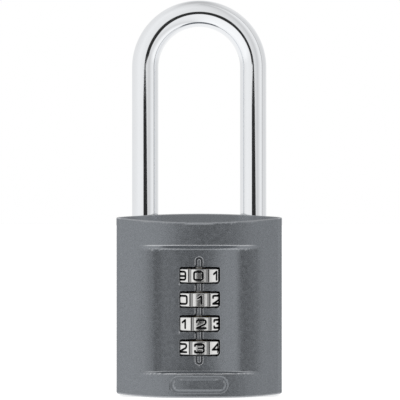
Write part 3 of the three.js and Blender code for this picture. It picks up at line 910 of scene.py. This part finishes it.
def dial(number):
    """One dial: nickel rim with ten engraved digits and a grip groove between each two."""
    angle = np.arange(DIAL_COLUMNS) * 2 * math.pi / DIAL_COLUMNS
    turn = half_turn_range(angle + math.pi / 2 - math.radians(DIAL_SLACK[number]))
    wall_end = DIAL_HALF_HEIGHT - DIAL_CHAMFER
    wall = np.linspace(-wall_end, wall_end, DIAL_ROWS)
    ink = digits_round_rim(SHOWN_DIGITS[number], turn, wall)
    sunk = grip_round_rim(turn)
    notch = GRIP_DEPTH * sunk
    face_radii = (DIAL_BORE, DIAL_RADIUS - 1.2, DIAL_RADIUS - DIAL_CHAMFER)
    count = len(face_radii)
    heights = np.concatenate([[-DIAL_HALF_HEIGHT] * count, wall, [DIAL_HALF_HEIGHT] * count])
    reach = np.empty((len(heights), DIAL_COLUMNS))
    for i, radius in enumerate(face_radii):
        reach[i] = reach[-1 - i] = np.minimum(radius, DIAL_RADIUS - notch - 0.02)
    reach[count:-count] = DIAL_RADIUS - ENGRAVING * smooth_step(0.5 - ink / ENGRAVING_RAMP) - notch
    points = np.empty((len(heights), DIAL_COLUMNS, 3))
    points[:, :, 0] = reach * np.cos(angle)
    points[:, :, 1] = DIAL_AXIS_Y + reach * np.sin(angle)
    points[:, :, 2] = heights[:, None] + DIAL_Z[number]
    quads = ring_quads(len(heights), DIAL_COLUMNS)
    piece = mesh_object(f"engraved_dial_{number + 1}", points.reshape(-1, 3), quads, dial_finish)
    everywhere = np.full(reach.shape, 1.0)
    everywhere[count:-count] = ink
    attach(piece, "ink", everywhere)
    # Painted shade in the grip notches, darkest on their walls.
    attach(piece, "painted_notch_shade", np.broadcast_to(0.66 * sunk + 1.8 * sunk * (1.0 - sunk), reach.shape))
    piece.data.set_sharp_from_angle(angle=math.radians(40))
    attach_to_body(piece, f"dial_set_{number + 1}")
    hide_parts(f"dial_{number + 1}")


# ---- rivets ----

RIVET_SIDES = 48
RIVET_SHANK_RADIUS = 1.1


def turned_rivet(x, z, profile):
    """Points and faces of a profile of (radius, y) turned about a line along Y."""
    points = []
    faces = []
    for radius, y in profile:
        radius = max(radius, 0.001)
        for k in range(RIVET_SIDES):
            angle = 2 * math.pi * k / RIVET_SIDES
            points.append((x + radius * math.cos(angle), y, z + radius * math.sin(angle)))
    for start in range(0, (len(profile) - 1) * RIVET_SIDES, RIVET_SIDES):
        for k in range(RIVET_SIDES):
            here = start + k
            after = start + (k + 1) % RIVET_SIDES
            faces.append((here + RIVET_SIDES, after + RIVET_SIDES, after, here))
    last = (len(profile) - 1) * RIVET_SIDES
    faces.append(tuple(range(RIVET_SIDES)))
    faces.append(tuple(last + k for k in reversed(range(RIVET_SIDES))))
    return points, faces


def cover_rivet(number):
    """A flush rivet with a slightly domed head that stays under the face."""
    low, high = rivet_boxes[number]
    x = (low[0] + high[0]) / 2
    z = (low[2] + high[2]) / 2
    head = (high[0] - low[0]) / 2
    face = BODY_HALF_DEPTH - float(arch_drop(abs(x) + head, REAR_RADIUS))
    profile = [(0.0, low[1]), (RIVET_SHANK_RADIUS, low[1]), (RIVET_SHANK_RADIUS, low[1] + 3.1),
               (head, low[1] + 3.9), (head, face - 0.12), (head - 0.1, face - 0.03),
               (head * 0.6, face), (0.0, face + 0.02)]
    points, faces = turned_rivet(x, z, profile)
    piece = mesh_object(f"flush_rivet_{number + 1}", points, faces, bare_steel)
    piece.data.set_sharp_from_angle(angle=math.radians(35))
    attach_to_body(piece, "body")
    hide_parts(f"cover_rivet_{number + 1}")


def dress_hidden_parts():
    """The parts inside keep their CAD shape and get their metals."""
    metals = {"yoke": bare_steel, "locking_spindle": bare_steel, "spindle_clip": spring_steel,
              "detent_spring": spring_steel, "spring_rivet_1": bare_steel, "spring_rivet_2": bare_steel}
    for n in range(1, 5):
        metals[f"code_sleeve_{n}"] = brass
    for name, metal in metals.items():
        for place in frame["nodes"][name].material_slots:
            place.material = metal


# ---- floor, light and camera ----

FLOOR_REACH = 4.0
FLOOR_GLOW = 0.65


def floor():
    """A pale floor that the shiny metal doesn't mirror."""
    corners = [(x * FLOOR_REACH, y * FLOOR_REACH, 0) for x, y in ((-1, -1), (1, -1), (1, 1), (-1, 1))]
    mesh = bpy.data.meshes.new("floor")
    mesh.from_pydata(corners, [], [(0, 1, 2, 3)])
    material, _, shader = new_material("pale_floor", (0.93, 0.93, 0.93), 0.0, 0.7)
    shader.inputs["Emission Color"].default_value = (1.0, 1.0, 1.0, 1.0)
    shader.inputs["Emission Strength"].default_value = FLOOR_GLOW
    mesh.materials.append(material)
    piece = bpy.data.objects.new("floor", mesh)
    piece.visible_glossy = False
    bpy.context.scene.collection.objects.link(piece)


def band(tree, value, low, high, ease):
    """1 between low and high, easing to 0 outside."""
    rise = ranged(tree, value, 0.0, 1.0, low - ease, low + ease)
    fall = ranged(tree, value, 1.0, 0.0, high - ease, high + ease)
    return arithmetic(tree, "MULTIPLY", rise, fall)


# All angles are in degrees: a turn to the right of the camera, a tilt above the horizon and a lean
# that runs from the camera's side up over the top.
# The room's brightness at each turn.
ROOM_LIGHT = ((-180, 0.84), (-120, 0.84), (-85, 0.87), (-55, 0.93), (-14, 0.88), (22, 0.75), (36, 0.66),
              (52, 0.8), (62, 0.9), (75, 0.9), (95, 0.74), (120, 0.74), (145, 0.84), (180, 0.84))
# The turn of the dark gap's left and right limits at each tilt.
GAP_LEFT = ((-12, -6), (-6, -9), (-2, -13), (3, -14), (4.2, -2), (8, -5), (14, -6))
GAP_RIGHT = ((-12, 14), (-8, 19), (-1, 23), (3, 12), (4.2, 3), (8, 5), (14, 5))
GAP_TURN_RANGE = (-30.0, 30.0)
GAP_TILTS = (-9.5, 12.0)
GAP_LIGHT = 0.03
SLIT_TURNS = (82.0, 87.0)
SLIT_SHADE = 0.6
OVERHEAD_LEANS = (100.0, 135.0)
OVERHEAD_SHADE = 0.3
ZENITH_LIGHT = 0.8
FLOORWARD_LIGHT = 1.14


def read_off(tree, value, stops, lowest, highest):
    """The level at value on straight lines through stops given as (place, level)."""
    node = tree.nodes.new("ShaderNodeFloatCurve")
    curve = node.mapping.curves[0]
    first = stops[0][0]
    reach = stops[-1][0] - first
    for place, _ in stops[1:-1]:
        curve.points.new((place - first) / reach, 0.5)
    for point, (place, level) in zip(curve.points, stops):
        point.location = ((place - first) / reach, (level - lowest) / (highest - lowest))
        point.handle_type = "VECTOR"
    node.mapping.update()
    tree.links.new(ranged(tree, value, 0.0, 1.0, first, first + reach), node.inputs["Value"])
    return ranged(tree, node.outputs[0], lowest, highest, 0.0, 1.0)


def product(tree, first, *others):
    """All the values multiplied together."""
    for value in others:
        first = arithmetic(tree, "MULTIPLY", first, value)
    return first


def room_directions(tree):
    """The side part of each direction into the room, and its turn, tilt and lean."""
    where = tree.nodes.new("ShaderNodeTexCoord")
    split = tree.nodes.new("ShaderNodeSeparateXYZ")
    tree.links.new(where.outputs["Generated"], split.inputs[0])
    x, y, z = split.outputs
    ahead = product(tree, y, -1.0)
    turn = product(tree, arithmetic(tree, "ARCTAN2", x, ahead), math.degrees(1.0))
    tilt = product(tree, arithmetic(tree, "ARCSINE", z), math.degrees(1.0))
    lean = product(tree, arithmetic(tree, "ARCTAN2", z, ahead), math.degrees(1.0))
    return x, turn, tilt, lean


def gap_shade(tree, turn, tilt):
    """1 inside the leaning dark gap and 0 outside it."""
    left = read_off(tree, tilt, GAP_LEFT, *GAP_TURN_RANGE)
    right = read_off(tree, tilt, GAP_RIGHT, *GAP_TURN_RANGE)
    past_left = ranged(tree, arithmetic(tree, "SUBTRACT", turn, left), 0.0, 1.0, -1.0, 1.0)
    before_right = ranged(tree, arithmetic(tree, "SUBTRACT", right, turn), 0.0, 1.0, -1.0, 1.0)
    return product(tree, past_left, before_right, band(tree, tilt, *GAP_TILTS, 1.0))


def overhead_shade(tree, x, tilt, lean):
    """A light shade over and behind the lock, in the room's middle."""
    along = band(tree, lean, *OVERHEAD_LEANS, 8.0)
    above = ranged(tree, tilt, 0.0, OVERHEAD_SHADE, 25.0, 40.0)
    central = ranged(tree, arithmetic(tree, "ABSOLUTE", x), 1.0, 0.0, 0.1, 0.35)
    return product(tree, along, above, central)


def white_to_camera(tree, light):
    """The room's light, or plain white where the camera sees it directly."""
    path = tree.nodes.new("ShaderNodeLightPath")
    seen = tree.nodes.new("ShaderNodeMix")
    seen.data_type = "FLOAT"
    tree.links.new(path.outputs["Is Camera Ray"], seen.inputs[0])
    tree.links.new(light, seen.inputs[2])
    seen.inputs[3].default_value = 1.0
    return seen.outputs[0]


def studio_light():
    """A white room with a leaning dark gap between its soft boxes, on the camera's side."""
    world = bpy.data.worlds.new("white_studio")
    bpy.context.scene.world = world
    world.use_nodes = True
    tree = world.node_tree
    x, turn, tilt, lean = room_directions(tree)
    upward = ranged(tree, tilt, 1.0, ZENITH_LIGHT, 55.0, 85.0)
    floorward = ranged(tree, tilt, FLOORWARD_LIGHT, 1.0, -8.0, 0.0)
    open_above = arithmetic(tree, "SUBTRACT", 1.0, overhead_shade(tree, x, tilt, lean))
    light = product(tree, read_off(tree, turn, ROOM_LIGHT, 0.0, 1.0), upward, floorward, open_above)
    slit = product(tree, band(tree, turn, *SLIT_TURNS, 1.0), SLIT_SHADE)
    shade = arithmetic(tree, "MAXIMUM", gap_shade(tree, turn, tilt), slit)
    lit = product(tree, light, arithmetic(tree, "SUBTRACT", 1.0, shade))
    light = arithmetic(tree, "MAXIMUM", lit, GAP_LIGHT)
    background = tree.nodes["Background"]
    background.inputs["Color"].default_value = (1.0, 1.0, 1.0, 1.0)
    tree.links.new(white_to_camera(tree, light), background.inputs["Strength"])


# Millimetres; the lens is about five times as long as its sensor is wide.
CAMERA_DISTANCE = 600.0
CAMERA_HEIGHT = 59.3
CAMERA_X = 0.25
SENSOR_WIDTH = 36.0
LENS_LENGTH = 177.3


def camera():
    """A long lens straight in front of the lock."""
    data = bpy.data.cameras.new("camera")
    data.sensor_width = SENSOR_WIDTH
    data.lens = LENS_LENGTH
    data.clip_start = 0.01
    data.clip_end = 20.0
    piece = bpy.data.objects.new("camera", data)
    piece.location = (CAMERA_X * MM, -CAMERA_DISTANCE * MM, CAMERA_HEIGHT * MM)
    piece.rotation_euler = (math.pi / 2, 0.0, 0.0)
    bpy.context.scene.collection.objects.link(piece)
    bpy.context.scene.camera = piece


camera()
studio_light()
floor()
housing()
rear_cover()
shackle()
for index in range(4):
    dial(index)
for index in range(4):
    cover_rivet(index)
dress_hidden_parts()
bpy.context.scene.view_settings.view_transform = "Standard"
